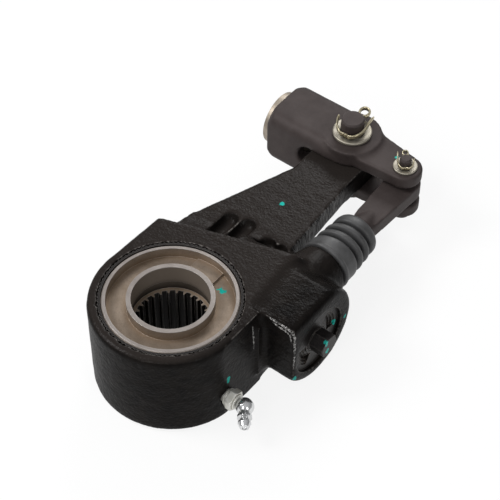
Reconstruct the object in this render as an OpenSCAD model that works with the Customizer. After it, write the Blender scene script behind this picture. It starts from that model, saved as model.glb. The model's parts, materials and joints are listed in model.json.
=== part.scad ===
// Automatic brake slack adjuster with clevis, link and grease fitting.
// Millimetres, +Z along the camshaft axis, origin on that axis at the lower hub face, arm towards +Y.

/* [Hub] */
// height of the hub along the camshaft axis
hub_h = 55; // [50:0.5:62]
// wall between the worm wheel and the outside of the hub
hub_wall = 7; // [5:0.25:9]
// radius that rounds the edges of the hub
hub_edge = 2.4; // [1:0.2:3]
// wall between the worm wheel and the flat side of the hub
flat_wall = 5.8; // [5.3:0.1:6.8]

/* [Worm wheel] */
// outer radius of the worm wheel
wheel_r = 34.2; // [33:0.1:35.5]
// number of teeth on the worm wheel
wheel_teeth = 24; // [20:1:28]
// height of a wheel tooth above its pitch circle
wheel_addendum = 2.7; // [2.4:0.05:2.9]
// number of camshaft spline teeth
spline_teeth = 28; // [10:1:37]
// outer radius of the camshaft spline
spline_major_r = 19.05; // [18.5:0.05:19.4]
// depth of the spline teeth
spline_depth = 1.9; // [1.5:0.05:2.2]
// height of the face where the spline begins
spline_top = 37.4; // [34:0.2:40]
// radius of the smooth bore above the spline
collar_bore_r = 19.6; // [19.5:0.05:20]
// wall of the collar round that bore
collar_wall = 2.4; // [1.8:0.1:3]
// depth of the smooth bore
collar_depth = 11; // [9:0.2:13]
// depth of the ring shaped recess in the wheel face
face_recess = 6; // [4:0.2:7]
// width of the rim round that recess
face_rim = 2.2; // [1.6:0.1:3]

/* [Worm and clutch] */
// pitch radius of the worm
worm_pitch_r = 10.5; // [10:0.1:11]
// height of the worm axis
worm_z = 26; // [25:0.25:27]
// length of the threaded part of the worm
worm_thread_len = 32; // [26:0.5:33]
// radius of the worm journals
worm_journal_r = 6; // [5.5:0.1:6.5]
// radius of the worm shaft inside the pinion
worm_stub_r = 4; // [3.5:0.1:4.3]
// width across the flats of the adjusting hex
hex_af = 11.1; // [10:0.1:12.7]
// distance that the adjusting hex stands out of the boss
hex_out = 6; // [3:0.25:8]
// radius of the clutch chamber
chamber_r = 15; // [14.5:0.1:15.5]
// number of teeth on the drive pinion
pinion_teeth = 14; // [13:1:15]
// module of the pinion and rack teeth
pinion_module = 1; // [0.95:0.01:1.05]
// radius of the rack bar
rack_r = 7.5; // [7.2:0.1:8]

// room between the clutch springs and the end cap
cap_room = 2.15; // [2:0.05:3]
// thickness of the flange of the end cap
cap_flange_t = 3.4; // [3:0.1:4]
// depth of the end cap below the end of the boss
cap_sink = 2.2; // [1.5:0.1:3]

/* [Boss and arm] */
// radius of the worm boss
boss_r = 26.4; // [25:0.2:27]
// radius that rounds the upper edge of the worm boss
boss_edge = 4; // [2:0.2:5]
// distance from the worm axis to the flat front of the boss
boss_front = 21.6; // [21:0.1:22.4]
// distance from the camshaft axis to the clevis pin axis
arm_len = 152.4; // [127:0.1:177.8]
// thickness of the arm
arm_t = 14; // [11:0.5:15]
// height of the middle plane of the arm
arm_z = 32; // [30:0.25:33]
// half width of the arm where it enters the clevis
arm_half_w = 15.5; // [13:0.25:17]
// radius that rounds the edges of the arm
arm_edge = 2.2; // [1:0.2:3]
// radius of the concave run from the hub down to the arm
slope_r = 20; // [17:0.5:26]
// radius of the arm bushing
bushing_r = 8.6; // [8:0.1:9.5]

/* [Clevis and link] */
// width and height of the clevis barrel
clevis_w = 34; // [32:0.5:36]
// corner radius of the clevis barrel
clevis_corner = 6.4; // [4:0.2:8]
// distance from the clevis pin to the end of the barrel
clevis_len = 45.5; // [38:0.5:60]
// distance from the clevis pin to the root of the fork slot
clevis_slot = 24; // [21:0.5:27]
// room between the fork arm and the slack arm on each face
fork_room = 0.5; // [0.4:0.05:1]
// radius of the clevis pin
clevis_pin_r = 6.35; // [6:0.05:6.6]
// thickness of the fork arms at the link pin
fork_t = 7.5; // [6.5:0.25:8.5]
// radius of the fork ends round the link pin
fork_end_r = 9.4; // [8.5:0.1:10.5]
// distance between the clevis pin and the link pin
link_reach = 36; // [33:0.5:40]
// angle of the link pin below the barrel line
link_angle = 3; // [0:0.5:6]
// radius of the link pin
link_pin_r = 3.175; // [2.8:0.025:3.5]
// thickness of the link
link_t = 9; // [7:0.25:10]
// radius of the round shank of the link
link_shank_r = 7.2; // [6:0.1:7.6]
// inner radius of the push rod thread
rod_thread_r = 7.2; // [6.5:0.05:8]
// radius of the flange on the threaded bushing
rod_flange_r = 15.2; // [14:0.2:17]
// thickness of that flange
rod_flange_t = 3.5; // [2:0.1:5]

/* [Boot] */
// outer radius of the boot at the housing
boot_r = 14.6; // [14:0.1:15.5]
// outer radius of the boot at the link
boot_top_r = 12.6; // [12:0.1:13.4]
// length of the boot
boot_len = 33; // [30:0.5:36]
// rubber thickness
boot_wall = 2; // [1.5:0.1:2.5]

/* [Grease fitting] */
// height of the grease fitting
fitting_z = 14.5; // [12:0.5:16]
// distance of the fitting from the middle of the flat
fitting_y = -6.5; // [-8:0.25:-4]
// width across the flats of the fitting hex
fitting_af = 11; // [9:0.25:12]
// radius of the fitting elbow
fitting_ball_r = 4.7; // [4:0.1:5.2]

/* [Fits] */
// radial clearance of running fits
run_fit = 0.05; // [0.02:0.01:0.1]
// clearance of pieces that seat on each other
seat_fit = 0.02; // [0.01:0.01:0.05]
// free room between pieces that pass each other
free_gap = 0.4; // [0.3:0.05:0.6]
// sideways play of the worm in the wheel teeth on each flank
mesh_play = 0.5; // [0.4:0.01:0.7]

/* [Hidden] */
$fn = 72;
eps = 0.01;
over = 1;

// hub and wheel
hub_r = wheel_r + hub_wall;
hub_flat = wheel_r + flat_wall;
wheel_top = hub_h - 0.5;
wheel_bottom = 0.5;
wheel_pitch_r = wheel_r - wheel_addendum;
wheel_bore_r = wheel_r + run_fit;
tooth_pitch = 2 * PI * wheel_pitch_r / wheel_teeth;
tooth_root_r = wheel_pitch_r - wheel_addendum - 0.6;
retainer_r = wheel_r + 1.9;
retainer_t = 1.6;
seal_t = 2.4;
pocket_depth = retainer_t + seal_t + 0.6;
serrations = 96;
pad_half_w = 8;
pad_h = 1.2;

// worm, clutch and rack stations along the worm axis
worm_y = wheel_pitch_r + worm_pitch_r;
worm_tip_r = worm_pitch_r + wheel_addendum - 0.3;
worm_core_r = worm_pitch_r - wheel_addendum - 0.3;
worm_bore_r = worm_tip_r + 0.6;
lead_angle = atan(tooth_pitch / (2 * PI * worm_pitch_r));
thread_half = 20;
gap_half = 24;
worm_half = worm_thread_len / 2;
bush_len = 7;
bush_wall = 3;
bush_x = -worm_half - bush_len - 5;
washer_x = worm_half + 3.5;
washer_t = 2;
hub_x = washer_x + washer_t + 0.3;
rack_x = link_reach * cos(link_angle);
gear_x0 = rack_x - rack_r + 0.5;
gear_x1 = rack_x + rack_r - 0.5;
drum_len = 2.7;
drum_x = rack_x - rack_r - free_gap - drum_len;
clutch_drum_r = 8;
hub_len = drum_x - hub_x - 0.2;
spring_wire = 1.6;
pinion_pitch_r = pinion_teeth * pinion_module / 2;
rack_pitch_z = worm_z + pinion_pitch_r;
rack_tip_z = rack_pitch_z - 0.85 * pinion_module;
rack_root_z = rack_pitch_z + 1.3 * pinion_module;
disc_x = gear_x1 + 0.7;
disc_count = 4;
disc_t = 0.9;
disc_rise = 0.7;
disc_pitch = disc_t + disc_rise + seat_fit;
disc_r = 10.5;
nut_x = disc_x + disc_count * disc_pitch;
nut_t = 3;
cap_spigot = 2.6;
cap_recess_r = chamber_r + 3.4;
cap_x = nut_x + cap_room + cap_spigot;
boss_end = cap_x + cap_flange_t + cap_sink;
hex_r = hex_af / 2 / cos(30);
hex_base_r = 6.8;
hex_x = nut_x + nut_t + 0.2;

// arm and boss
arm_bottom = arm_z - arm_t / 2;
arm_top = arm_z + arm_t / 2;
boss_y = worm_y + 0.6;
boss_z = worm_z + 2.4;
front_y = worm_y - boss_front;
left_wall = [[-hub_r + 0.15, 0], [-hub_r + 2, 46]];
right_wall = [[hub_flat, front_y], [rack_x + 0.4, worm_y + 22]];
shoulder_edge = 9;
ridge_angle = 18.3;
ridge_y = 36.4;
arm_root_y = 62;
pocket_floor = arm_z + 1;
neck_end = boss_y + boss_r + 9;
neck_r = boot_r - 0.8;
boss_drop = 2;
neck_drop = boss_drop + 0.4;
boss_back = 8;
flare_shift = 7;
flare_len = neck_end - boss_y - 7;
flare_turn = atan2(flare_shift - 1, flare_len);
spigot_r = rack_r + 3.4;
spigot_len = 7;

// clevis, link and pins
clevis_top = arm_z + clevis_w / 2;
clevis_bottom = arm_z - clevis_w / 2;
slot_half = arm_t / 2 + fork_room;
fork_top = arm_z + slot_half + fork_t;
fork_bottom = arm_z - slot_half - fork_t;
pin_boss_r = clevis_w / 2 - 0.5;
link_x = link_reach * cos(link_angle);
link_y = arm_len - link_reach * sin(link_angle);
pivot_out = 15;
pivot_y = neck_end + pivot_out;
tongue_t = 5;
tongue_r = 5.2;
rack_pin_r = 2.5;
pivot_room = 0.95;
rack_slot_half = tongue_t / 2 + free_gap;
rack_inner_y = worm_y - 7;
rack_outer_y = pivot_y + tongue_r + 0.6;
bore_blind_y = front_y + 2.8;
shank_y0 = pivot_y + tongue_r + 2.2;
shank_y1 = neck_end + boot_len + 6;
washer_big_r = 11.3;
washer_big_t = 2;
pin_top = clevis_top + washer_big_t + 9;
cotter_big = 1.25;
cotter_big_z = clevis_top + washer_big_t + 0.3 + cotter_big;
washer_small_r = 7.3;
washer_small_t = 1.2;
link_pin_top = fork_top + washer_small_t + 5.6;
cotter_small = 0.8;
cotter_small_z = fork_top + washer_small_t + 0.3 + cotter_small;
pin_head_t = 4;
rod_bush_r = rod_thread_r + 3.4;

// grease fitting
thread_r = 3.9;
fitting_hex_t = 4.6;
fitting_ball_x = hub_flat + fitting_hex_t + 6.4;
nipple_angle = -53;

black = [0.09, 0.09, 0.10];
steel = [0.62, 0.60, 0.56];
sinter = [0.50, 0.46, 0.41];
phosphate = [0.25, 0.23, 0.22];
zinc = [0.80, 0.77, 0.65];
rubber = [0.17, 0.17, 0.18];
bronze = [0.62, 0.47, 0.27];

// turns a shape that stands on +Z so that it lies along +X
module along_x() {
  rotate([0, 90, 0]) children();
}

// turns a shape that stands on +Z so that it lies along +Y
module along_y() {
  rotate([-90, 0, 0]) children();
}

// places a shape built along +X on the worm axis
module on_worm_axis(x) {
  translate([x, worm_y, worm_z]) along_x() children();
}

module tube(outer_r, inner_r, h) {
  difference() {
    cylinder(r = outer_r, h = h);
    translate([0, 0, -over]) cylinder(r = inner_r, h = h + 2 * over);
  }
}

module rounded_rect(w, h, r) {
  square([w - 2 * r, h], center = true);
  square([w, h - 2 * r], center = true);
  for (x = [-1, 1], y = [-1, 1]) translate([x * (w / 2 - r), y * (h / 2 - r)]) circle(r = r);
}

// disc with both outer edges rounded
module rounded_disc(r, h, e) {
  rotate_extrude() {
    square([r - e, h]);
    translate([0, e]) square([r, h - 2 * e]);
    translate([r - e, e]) circle(r = e);
    translate([r - e, h - e]) circle(r = e);
  }
}

// plan of two round ends joined by their common tangents
module strap(c1, r1, c2, r2) {
  span = norm(c2 - c1);
  heading = atan2(c2[1] - c1[1], c2[0] - c1[0]);
  spread = acos((r1 - r2) / span);
  translate(c1) circle(r = r1);
  translate(c2) circle(r = r2);
  polygon([
    c1 + r1 * [cos(heading + spread), sin(heading + spread)],
    c1 + r1 * [cos(heading - spread), sin(heading - spread)],
    c2 + r2 * [cos(heading - spread), sin(heading - spread)],
    c2 + r2 * [cos(heading + spread), sin(heading + spread)]
  ]);
}

// cutter that rounds the edge from a to b at height z; the solid lies to the left of a to b
module edge_round(a, b, z, r, up) {
  run = b - a;
  translate([a[0], a[1], z]) rotate([0, 0, atan2(run[1], run[0])]) mirror([0, 0, up > 0 ? 0 : 1])
    difference() {
      translate([-over, -over, -r]) cube([norm(run) + 2 * over, r + over, r + over]);
      translate([-2 * over, r, -r]) along_x() cylinder(r = r, h = norm(run) + 4 * over);
    }
}

// ring of pointed serrations
function serrated(r, depth, count) = [
  for (i = [0 : 2 * count - 1]) (r - (i % 2) * depth) * [cos(180 * i / count), sin(180 * i / count)]
];

// outline of a spline bore with straight sided teeth
function spline_outline(major, depth, count) = [
  for (i = [0 : count - 1], k = [[-0.30, 0], [0.30, 0], [0.42, 1], [0.58, 1]])
    (major - k[1] * depth) * [cos(360 * (i + k[0]) / count), sin(360 * (i + k[0]) / count)]
];

// outline of a spur gear with trapezoid teeth
function gear_outline(count, tip, root, tip_share, root_share) = [
  for (i = [0 : count - 1], k = [[-root_share, 0], [-tip_share, 1], [tip_share, 1], [root_share, 0]])
    (k[1] == 1 ? tip : root) * [cos(360 * (i + k[0]) / count), sin(360 * (i + k[0]) / count)]
];

// closed sweep of a flat profile along a helix round +Z; profile points are [radius, offset along Z]
module helix_sweep(profile, pitch, a0, a1, per_turn) {
  steps = ceil((a1 - a0) / 360 * per_turn);
  count = len(profile);
  points = [
    for (i = [0 : steps], p = profile)
      let (a = a0 + (a1 - a0) * i / steps) [p[0] * cos(a), p[0] * sin(a), p[1] + pitch * a / 360]
  ];
  sides = [
    for (i = [0 : steps - 1], j = [0 : count - 1], half = [0, 1])
      let (k = (j + 1) % count, lower = i * count, upper = lower + count)
        half == 0 ? [lower + j, lower + k, upper + k] : [lower + j, upper + k, upper + j]
  ];
  first = [for (j = [count - 1 : -1 : 0]) j];
  last = [for (j = [0 : count - 1]) steps * count + j];
  polyhedron(points = points, faces = concat(sides, [first, last]));
}

// concave run from the hub face down to the arm, as the room it takes away above z = 0
module slope_room(r, drop) {
  run = sqrt(r * r - (r - drop) * (r - drop));
  translate([0, 0, -drop + r]) along_x() cylinder(r = r, h = 4 * hub_r, center = true);
  translate([-2 * hub_r, 0, -drop]) cube([4 * hub_r, 4 * hub_r, 4 * hub_r]);
  translate([-2 * hub_r, -run, r - drop]) cube([4 * hub_r, 4 * hub_r, 4 * hub_r]);
}

// the shoulder that carries the worm housing and the root of the arm
module shoulder() {
  drop_top = hub_h - arm_top;
  drop_bottom = arm_bottom;
  run_top = sqrt(slope_r * slope_r - (slope_r - drop_top) * (slope_r - drop_top));
  bottom_r = arm_bottom + 0.5;
  run_bottom = sqrt(bottom_r * bottom_r - (bottom_r - drop_bottom) * (bottom_r - drop_bottom));
  difference() {
    linear_extrude(hub_h) polygon([
      left_wall[0], [0, -hub_r / 2], [hub_flat, -hub_edge], right_wall[0], right_wall[1],
      [arm_half_w + 10, arm_root_y + 8], [-arm_half_w - 22, arm_root_y], left_wall[1]
    ]);
    translate([-hub_r, ridge_y, hub_h]) rotate([0, 0, ridge_angle])
      translate([0, run_top, 0]) slope_room(slope_r, drop_top);
    translate([-hub_r, ridge_y, 0]) rotate([0, 0, ridge_angle]) mirror([0, 0, 1])
      translate([0, run_bottom, 0]) slope_room(bottom_r, drop_bottom);
    edge_round(left_wall[1], left_wall[0], hub_h, hub_edge - 0.2, 1);
    edge_round(left_wall[1], left_wall[0], 0, hub_edge - 0.2, -1);
    edge_round(right_wall[0], right_wall[1], hub_h, shoulder_edge, 1);
  }
}

// plan corners of the arm on its left and right side
arm_left = [[-arm_half_w - 23, arm_root_y - 3], [-arm_half_w, arm_len - 30]];
arm_right = [[arm_half_w + 4.5, arm_root_y + 2], [arm_half_w, arm_len - 26]];

module arm() {
  difference() {
    translate([0, 0, arm_bottom]) linear_extrude(arm_t) {
      translate([0, arm_len]) circle(r = arm_half_w);
      polygon([
        [0, worm_y], arm_left[0], arm_left[1], [-arm_half_w, arm_len], [arm_half_w, arm_len],
        arm_right[1], arm_right[0]
      ]);
    }
    for (side = [[arm_top, 1], [arm_bottom, -1]]) {
      edge_round(arm_left[1], arm_left[0], side[0], arm_edge, side[1]);
      edge_round(arm_right[0], arm_right[1], side[0], arm_edge, side[1]);
    }
  }
}

// round boss over the worm with its squared front and its level top
module boss() {
  top = hub_h - boss_drop;
  difference() {
    intersection() {
      union() {
        translate([0, boss_y, boss_z]) along_x() rounded_disc(boss_r, boss_end, hub_edge);
        translate([0, front_y, boss_z]) cube([boss_end, boss_y + boss_back - front_y, hub_h]);
      }
      translate([0, front_y, -over]) cube([2 * boss_end, 4 * boss_r, top + over]);
    }
    edge_round([boss_end, front_y - over], [boss_end, boss_y + 2 * boss_r], top, boss_edge, 1);
  }
}

// rib and ledge in the corner between the hub flat and the boss
module corner_rib() {
  rib_w = 5;
  translate([hub_flat - 3, front_y - 4.5, hub_h / 6]) cube([rib_w, 2 * rib_w, hub_h * 0.68]);
  translate([hub_flat - 3, front_y - 4.5, hub_h / 6]) rotate([0, 0, 45])
    cube([rib_w, 2 * rib_w, hub_h * 0.6]);
}

// flared neck from the boss to the boot
module boot_neck() {
  translate([rack_x, boss_y, arm_z]) along_y()
    cylinder(r1 = hub_h - arm_z - neck_drop, r2 = neck_r, h = neck_end - boss_y);
  translate([rack_x + flare_shift, boss_y + 4, arm_z - 2]) rotate([0, 0, flare_turn]) along_y()
    cylinder(r1 = boss_end - rack_x - flare_shift - 1, r2 = neck_r - 0.5, h = flare_len);
  translate([rack_x, boss_y, arm_z]) along_y() cylinder(r = spigot_r, h = neck_end - boss_y + spigot_len);
}

// round ended pockets in the run from the hub to the arm
module root_pockets() {
  half_w = 4.2;
  for (p = [[-18.5, 58, 12], [-8.5, 61, 11], [7.5, 63, 5], [15, 64, 4]])
    translate([p[0], p[1], pocket_floor]) linear_extrude(hub_h) {
      circle(r = half_w);
      translate([0, p[2]]) circle(r = half_w);
      translate([-half_w, 0]) square([2 * half_w, p[2]]);
    }
}

module housing_bores() {
  translate([0, 0, -over]) cylinder(r = wheel_bore_r, h = hub_h + 2 * over, $fn = 120);
  translate([0, 0, hub_h - pocket_depth]) cylinder(r = retainer_r + seat_fit, h = hub_h, $fn = 120);
  translate([0, 0, pocket_depth - hub_h]) cylinder(r = retainer_r + seat_fit, h = hub_h, $fn = 120);
  on_worm_axis(-worm_half - 4) cylinder(r = worm_bore_r, h = boss_end + worm_half);
  on_worm_axis(bush_x) cylinder(r = worm_journal_r + bush_wall + seat_fit, h = boss_end);
  on_worm_axis(washer_x) cylinder(r = chamber_r, h = boss_end);
  on_worm_axis(cap_x) cylinder(r = cap_recess_r, h = boss_end);
  translate([rack_x, bore_blind_y, arm_z]) along_y() cylinder(r = rack_r + run_fit, h = arm_len);
  translate([rack_x, boss_y, arm_z]) along_y() cylinder(r = rack_r + 1.6 + seat_fit, h = arm_len);
  translate([0, arm_len, 0]) cylinder(r = bushing_r, h = hub_h);
  translate([hub_flat - 8, fitting_y, fitting_z]) along_x() cylinder(r = thread_r, h = 2 * over + 8);
}

module housing() {
  color(black) difference() {
    union() {
      difference() {
        union() {
          rounded_disc(hub_r, hub_h, hub_edge, $fn = 120);
          shoulder();
        }
        translate([hub_flat, -2 * hub_r, -over]) cube([hub_r, 2 * hub_r + front_y, 2 * hub_h]);
      }
      arm();
      boss();
      corner_rib();
      boot_neck();
    }
    root_pockets();
    housing_bores();
  }
}

module arm_bushing() {
  color(steel) translate([0, arm_len, arm_bottom])
    tube(bushing_r - seat_fit, clevis_pin_r + run_fit, arm_t);
}

// serrated ring that holds the wheel and its seal in the hub
module gear_retainer() {
  color(black) translate([0, 0, hub_h - 0.4 - retainer_t]) difference() {
    linear_extrude(retainer_t) polygon(serrated(retainer_r, 0.7, serrations));
    translate([0, 0, -over]) cylinder(r = wheel_r + 0.35, h = retainer_t + 2 * over, $fn = 360);
  }
}

module lower_retainer() {
  color(steel) translate([0, 0, 0.4]) tube(retainer_r, wheel_r + 0.35, retainer_t);
}

module gear_seal() {
  tube(retainer_r, wheel_r + 0.3, seal_t);
}

module gear_seal_upper() {
  color(rubber) translate([0, 0, hub_h - 0.4 - retainer_t - seal_t]) gear_seal();
}

module gear_seal_lower() {
  color(rubber) translate([0, 0, 0.4 + retainer_t]) gear_seal();
}

// gap between two wheel teeth, slanted by the lead of the worm
module tooth_gap() {
  depth = wheel_pitch_r - tooth_root_r;
  half = tooth_pitch / 4;
  reach = wheel_r - wheel_pitch_r + over;
  band = 1.05 * sqrt(worm_tip_r * worm_tip_r - (worm_y - wheel_r) * (worm_y - wheel_r));
  translate([0, wheel_pitch_r, worm_z]) rotate([0, -lead_angle, 0]) translate([0, 0, -band])
    linear_extrude(2 * band) polygon([
      [-half + depth * tan(gap_half), -depth], [half - depth * tan(gap_half), -depth],
      [half + reach * tan(gap_half), reach], [-half - reach * tan(gap_half), reach]
    ]);
}

module worm_wheel() {
  collar_r = collar_bore_r + collar_wall;
  rim_r = wheel_r - face_rim;
  undercut_r = collar_bore_r + 1.2;
  color(sinter) difference() {
    union() {
      rotate_extrude($fn = 120) difference() {
        translate([0, wheel_bottom]) square([wheel_r, wheel_top - wheel_bottom]);
        translate([wheel_r, wheel_top]) rotate(45) square(0.9, center = true);
        translate([collar_r, wheel_top - face_recess]) square([rim_r - collar_r, hub_h]);
        translate([collar_r, wheel_bottom - hub_h + face_recess]) square([rim_r - collar_r, hub_h]);
        translate([0, wheel_top - collar_depth]) square([collar_bore_r, hub_h]);
        translate([0, spline_top]) square([undercut_r, wheel_top - collar_depth - spline_top + eps]);
        translate([0, wheel_bottom - over]) square([collar_bore_r, collar_depth / 2 + over]);
      }
      intersection() {
        translate([0, 0, wheel_top - face_recess - eps]) tube(rim_r + eps, collar_r - eps, pad_h);
        translate([-pad_half_w, 0, 0]) cube([2 * pad_half_w, hub_r, hub_h]);
      }
    }
    translate([0, 0, -over]) linear_extrude(hub_h)
      polygon(spline_outline(spline_major_r, spline_depth, spline_teeth));
    for (i = [0 : wheel_teeth - 1]) rotate([0, 0, 360 * i / wheel_teeth]) tooth_gap();
  }
}

// axial profile of the worm thread
function thread_profile() =
  let (half = tooth_pitch / 4 - mesh_play,
       above = worm_tip_r - worm_pitch_r,
       below = worm_pitch_r - worm_core_r + 0.4,
       slope = tan(thread_half))
    [[worm_pitch_r - below, -half - below * slope], [worm_tip_r, -half + above * slope],
     [worm_tip_r, half - above * slope], [worm_pitch_r - below, half + below * slope]];

module worm_shaft() {
  turns = floor((worm_thread_len - tooth_pitch * 0.8) / tooth_pitch);
  color(steel) {
    on_worm_axis(bush_x + 1) cylinder(r = worm_journal_r, h = -bush_x - 1 + washer_x + washer_t);
    on_worm_axis(-worm_half) cylinder(r = worm_core_r, h = worm_thread_len);
    on_worm_axis(worm_half - eps) cylinder(r = worm_core_r + 2, h = washer_x - worm_half - 0.1);
    on_worm_axis(0) cylinder(r = worm_stub_r, h = hex_x + 5);
    on_worm_axis(0) rotate([0, 0, -90])
      helix_sweep(thread_profile(), tooth_pitch, -180 * turns, 180 * turns, 24);
  }
}

module worm_bush() {
  color(bronze) on_worm_axis(bush_x) tube(worm_journal_r + bush_wall, worm_journal_r + run_fit, bush_len);
}

module thrust_washer() {
  color(bronze) difference() {
    on_worm_axis(washer_x) tube(chamber_r - seat_fit, worm_journal_r + run_fit, washer_t);
    cylinder(r = wheel_bore_r + free_gap, h = hub_h);
  }
}

module clutch_hub() {
  color(steel) on_worm_axis(hub_x) tube(clutch_drum_r, worm_stub_r + seat_fit, hub_len);
}

// square wire one way spring wound round the clutch hub and the pinion drum
module wrap_spring() {
  inner = clutch_drum_r + run_fit + 0.05;
  outer = inner + spring_wire;
  wire_w = 1.15;
  pitch = 1.3;
  span = drum_x + drum_len - hub_x - wire_w - 0.3;
  color(steel) on_worm_axis(hub_x + 0.15 + wire_w / 2)
    helix_sweep([[inner, -wire_w / 2], [outer, -wire_w / 2], [outer, wire_w / 2], [inner, wire_w / 2]],
      pitch, 0, 360 * span / pitch, 30);
}

module drive_pinion() {
  root = pinion_pitch_r - 1.25 * pinion_module;
  tip = pinion_pitch_r + 0.9 * pinion_module;
  color(steel) difference() {
    union() {
      on_worm_axis(drum_x) cylinder(r = clutch_drum_r, h = drum_len);
      on_worm_axis(drum_x) cylinder(r = root - 0.1, h = gear_x1 - drum_x);
      on_worm_axis(gear_x0) linear_extrude(gear_x1 - gear_x0)
        polygon(gear_outline(pinion_teeth, tip, root, 0.09, 0.36));
    }
    on_worm_axis(0) cylinder(r = worm_stub_r + run_fit, h = boss_end);
  }
}

// coned washers stacked face to face on the worm shaft
module clutch_springs() {
  color(steel) for (i = [0 : disc_count - 1]) {
    flip = i % 2;
    on_worm_axis(disc_x + i * disc_pitch) translate([0, 0, flip * (disc_t + disc_rise)])
      mirror([0, 0, flip]) rotate_extrude() polygon([
        [worm_stub_r + seat_fit, disc_rise], [disc_r, 0], [disc_r, disc_t],
        [worm_stub_r + seat_fit, disc_t + disc_rise]
      ]);
  }
}

module spring_nut() {
  color(steel) on_worm_axis(nut_x) difference() {
    cylinder(r = hex_base_r - 0.5, h = nut_t, $fn = 6);
    translate([0, 0, -over]) cylinder(r = worm_stub_r + seat_fit, h = nut_t + 2 * over);
  }
}

// dished cap with two stepped kidney recesses
module end_cap() {
  kidney_angle = 33;
  steps = [[8.4, cap_recess_r - 3.2, 0.8], [9.6, cap_recess_r - 4.6, 1.6], [10.8, cap_recess_r - 6, 2.4]];
  color(black) difference() {
    union() {
      on_worm_axis(cap_x) cylinder(r = cap_recess_r - seat_fit, h = cap_flange_t);
      on_worm_axis(cap_x - cap_spigot) cylinder(r = chamber_r - seat_fit, h = cap_spigot + eps);
    }
    on_worm_axis(cap_x - cap_spigot - over) cylinder(r = hex_base_r + 1.5, h = cap_spigot + over);
    on_worm_axis(cap_x - over) cylinder(r = hex_base_r + 0.3, h = cap_flange_t + 2 * over);
    for (side = [0, 180], s = steps) on_worm_axis(cap_x + cap_flange_t - s[2])
      rotate([0, 0, -90 + kidney_angle + side]) intersection() {
        tube(s[1], s[0], cap_flange_t);
        rotate([0, 0, 45 + 12]) cube([boss_r, boss_r, boss_r]);
        rotate([0, 0, 45 - 12]) cube([boss_r, boss_r, boss_r]);
      }
  }
}

module end_cap_seal() {
  color(rubber) on_worm_axis(cap_x - cap_spigot)
    tube(hex_base_r + 1.5 - seat_fit, hex_base_r + run_fit, cap_spigot - seat_fit);
}

// adjusting hex that is pressed on the end of the worm shaft
module hex_extension() {
  color(black) difference() {
    union() {
      on_worm_axis(hex_x) cylinder(r = hex_base_r, h = cap_x + cap_flange_t - hex_x);
      on_worm_axis(cap_x) intersection() {
        rotate([0, 0, 15]) cylinder(r = hex_r, h = boss_end + hex_out - cap_x, $fn = 6);
        cylinder(r1 = 4 * hex_r, r2 = hex_r - 0.6, h = boss_end + hex_out - cap_x);
      }
    }
    on_worm_axis(hex_x - over) cylinder(r = worm_stub_r + seat_fit, h = over + 5.2);
  }
}

// rack teeth cut into the lower side of the bar
function rack_outline() =
  let (p = PI * pinion_module, count = 9, start = worm_y - 2 * p)
    concat([[-hub_h, -hub_h], [-hub_h, rack_tip_z]],
      [for (i = [0 : count - 1], k = [[0.14, 0], [0.38, 1], [0.62, 1], [0.86, 0]])
        [start + (i - 0.5 + k[0]) * p, k[1] == 1 ? rack_root_z : rack_tip_z]],
      [[start + count * p + 4, rack_tip_z], [start + count * p + 4, -hub_h]]);

module rack() {
  color(steel) difference() {
    translate([rack_x, rack_inner_y, arm_z]) along_y() cylinder(r = rack_r, h = rack_outer_y - rack_inner_y);
    translate([rack_x - 2 * rack_r, 0, 0]) rotate([90, 0, 90]) linear_extrude(4 * rack_r)
      polygon(rack_outline());
    translate([rack_x - 2 * rack_r, pivot_y - tongue_r - 1.2, arm_z - rack_slot_half])
      cube([4 * rack_r, arm_len, 2 * rack_slot_half]);
    translate([rack_x, pivot_y, 0]) cylinder(r = rack_pin_r + seat_fit, h = hub_h);
  }
}

module rack_pin() {
  half = sqrt(rack_r * rack_r - rack_pin_r * rack_pin_r) - 0.3;
  color(steel) translate([rack_x, pivot_y, arm_z - half]) cylinder(r = rack_pin_r, h = 2 * half);
}

module rack_bush() {
  color(bronze) translate([rack_x, boss_y + chamber_r, arm_z]) along_y()
    tube(rack_r + 1.6, rack_r + run_fit, neck_end + spigot_len - boss_y - chamber_r);
}

// half section of the bellows, radius against distance from the housing
module boot_section() {
  band = 12.4;
  fold = 5.2;
  folds = 2;
  groove = 2.1;
  top_band = boot_len - band - folds * fold;
  translate([spigot_r + seat_fit, seat_fit]) square([boot_r - spigot_r - seat_fit, band - 0.8]);
  for (i = [0 : folds - 1]) {
    crest = boot_r - (boot_r - boot_top_r) * (i + 1) / (folds + 1);
    y0 = band + i * fold;
    translate([crest - boot_wall - groove, y0 - 1]) square([boot_wall, fold + 1]);
    translate([crest - boot_wall - groove, y0 + groove - 0.3])
      square([boot_wall + groove - 0.9, fold - groove + 0.3]);
    translate([crest - 1.2, y0 + groove + 0.9]) circle(r = 1.2);
    translate([crest - 1.2, y0 + fold - 1]) circle(r = 1.2);
  }
  translate([boot_top_r - boot_wall - groove, band + folds * fold - 1]) square([boot_wall, top_band - 1]);
  translate([boot_top_r - boot_wall - groove, band + folds * fold + 0.9])
    square([boot_wall + groove - 1, top_band - 3]);
  translate([boot_top_r - 2, band + folds * fold + 2.8]) circle(r = 2);
  translate([link_shank_r + 0.3, boot_len - 4]) square([boot_top_r - link_shank_r - 1.6, 2.6]);
}

module boot() {
  color(rubber) translate([rack_x, neck_end, arm_z]) along_y() rotate_extrude() boot_section();
}

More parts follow.
